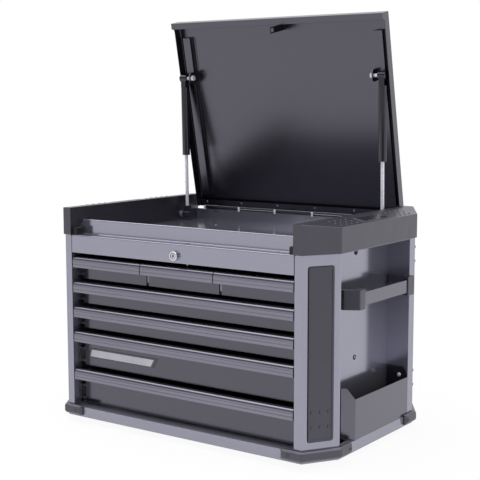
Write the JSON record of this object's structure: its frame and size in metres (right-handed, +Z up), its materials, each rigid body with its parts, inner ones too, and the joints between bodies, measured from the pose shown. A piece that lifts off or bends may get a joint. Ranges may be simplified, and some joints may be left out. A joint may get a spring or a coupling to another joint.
{
  "type": "tool chest",
  "caption": "Bench-top steel tool chest with a lift-up lid on gas struts, a top tray, full-width pulls on sliding drawers, side handles and an open side bin.",
  "frame": {"origin": "middle of the plan at the level that the feet stand on", "axes": "+X to the right as seen from the front, +Y to the back, +Z up"},
  "size_m": [0.708, 0.4669, 0.8833],
  "materials": {
    "grey_paint": "satin grey powder coat",
    "black_paint": "satin black powder coat",
    "drawer_paint": "gloss black powder coat",
    "dark_paint": "satin dark grey powder coat",
    "pull_alloy": "black anodised extrusion",
    "black_plastic": "textured black moulding",
    "black_rubber": "matt rubber",
    "chrome": "bright plated steel",
    "zinc_steel": "zinc plated steel"
  },
  "bodies": {
    "chest": {"back_panel": "grey_paint", "base_pan": "grey_paint", "cabinet_rails": "zinc_steel", "corner_bumpers": "black_plastic", "drawer_dividers": "black_paint", "feet": "black_rubber", "front_pillar_left": "grey_paint", "front_pillar_right": "grey_paint", "handle_bar_left": "dark_paint", "handle_bar_right": "dark_paint", "handle_brackets": "black_plastic", "hinge_lower_leaf": "black_paint", "lid_buffers": "black_rubber", "lock_body": "chrome", "lock_rail": "grey_paint", "pillar_inserts": "black_plastic", "rear_pillar_left": "grey_paint", "rear_pillar_right": "grey_paint", "side_bin": "dark_paint", "side_wall_left": "grey_paint", "side_wall_right": "grey_paint", "strut_studs": "zinc_steel", "top_trim_left": "black_plastic", "top_trim_right": "black_plastic", "tray_floor": "grey_paint"},
    "lid": {"lid_pan": "black_paint", "lid_channels": "black_paint", "striker": "black_paint", "strut_brackets": "black_paint", "ball_studs": "zinc_steel", "hinge_upper_leaf": "black_paint"},
    "lock": {"lock_plug": "chrome", "lock_cam": "zinc_steel"},
    "strut_rod_l": {"strut_rod_left": "chrome", "strut_socket_left": "black_plastic"},
    "strut_rod_r": {"strut_rod_right": "chrome", "strut_socket_right": "black_plastic"},
    "strut_tube_l": {"strut_tube_left": "black_paint"},
    "strut_tube_r": {"strut_tube_right": "black_paint"},
    "drawer_5": {"drawer_5_pan": "drawer_paint", "drawer_5_pull": "pull_alloy", "drawer_5_runners": "zinc_steel"},
    "drawer_4": {"drawer_4_pan": "drawer_paint", "drawer_4_pull": "pull_alloy", "drawer_4_runners": "zinc_steel"},
    "drawer_3": {"drawer_3_pan": "drawer_paint", "drawer_3_pull": "pull_alloy", "drawer_3_runners": "zinc_steel"},
    "drawer_2": {"drawer_2_pan": "drawer_paint", "drawer_2_pull": "pull_alloy", "drawer_2_runners": "zinc_steel"},
    "drawer_top_left": {"drawer_top_left_pan": "drawer_paint", "drawer_top_left_pull": "pull_alloy", "drawer_top_left_runners": "zinc_steel"},
    "drawer_top_middle": {"drawer_top_middle_pan": "drawer_paint", "drawer_top_middle_pull": "pull_alloy", "drawer_top_middle_runners": "zinc_steel"},
    "drawer_top_right": {"drawer_top_right_pan": "drawer_paint", "drawer_top_right_pull": "pull_alloy", "drawer_top_right_runners": "zinc_steel"}
  },
  "joints": [
    {"name": "lid_hinge", "type": "hinge", "parent": "chest", "child": "lid", "pos_m": [0, 0.2206, 0.443], "axis": [1, 0, 0], "range_deg": [0, 78.5]},
    {"name": "strut_swing_left", "type": "hinge", "parent": "chest", "child": "strut_rod_l", "pos_m": [-0.265, 0.1584, 0.428], "axis": [1, 0, 0], "range_deg": [0, 86.89]},
    {"name": "strut_slide_left", "type": "slide", "parent": "strut_rod_l", "child": "strut_tube_l", "axis": [0, 0.0237, -0.9997], "range_m": [0, 0.06948], "stiffness_N_per_m": 705, "springref_m": -0.036},
    {"name": "strut_swing_right", "type": "hinge", "parent": "chest", "child": "strut_rod_r", "pos_m": [0.265, 0.1584, 0.428], "axis": [1, 0, 0], "range_deg": [0, 86.89]},
    {"name": "strut_slide_right", "type": "slide", "parent": "strut_rod_r", "child": "strut_tube_r", "axis": [0, 0.0237, -0.9997], "range_m": [0, 0.06948], "stiffness_N_per_m": 705, "springref_m": -0.036},
    {"name": "lock_turn", "type": "hinge", "parent": "chest", "child": "lock", "pos_m": [0, -0.2215, 0.389], "axis": [0, -1, 0], "range_deg": [0, 90]},
    {"name": "drawer_5_slide", "type": "slide", "parent": "chest", "child": "drawer_5", "axis": [0, -1, 0], "range_m": [0, 0.3]},
    {"name": "drawer_4_slide", "type": "slide", "parent": "chest", "child": "drawer_4", "axis": [0, -1, 0], "range_m": [0, 0.3]},
    {"name": "drawer_3_slide", "type": "slide", "parent": "chest", "child": "drawer_3", "axis": [0, -1, 0], "range_m": [0, 0.3]},
    {"name": "drawer_2_slide", "type": "slide", "parent": "chest", "child": "drawer_2", "axis": [0, -1, 0], "range_m": [0, 0.3]},
    {"name": "drawer_top_left_slide", "type": "slide", "parent": "chest", "child": "drawer_top_left", "axis": [0, -1, 0], "range_m": [0, 0.3]},
    {"name": "drawer_top_middle_slide", "type": "slide", "parent": "chest", "child": "drawer_top_middle", "axis": [0, -1, 0], "range_m": [0, 0.3]},
    {"name": "drawer_top_right_slide", "type": "slide", "parent": "chest", "child": "drawer_top_right", "axis": [0, -1, 0], "range_m": [0, 0.3]}
  ],
  "couplings": [
    {"joint": "strut_swing_left", "follows": "lid_hinge", "ratio": 1.1062},
    {"joint": "strut_slide_left", "follows": "lid_hinge", "m_per_rad": 0.050672},
    {"joint": "strut_swing_right", "follows": "lid_hinge", "ratio": 1.1062},
    {"joint": "strut_slide_right", "follows": "lid_hinge", "m_per_rad": 0.050672}
  ]
}
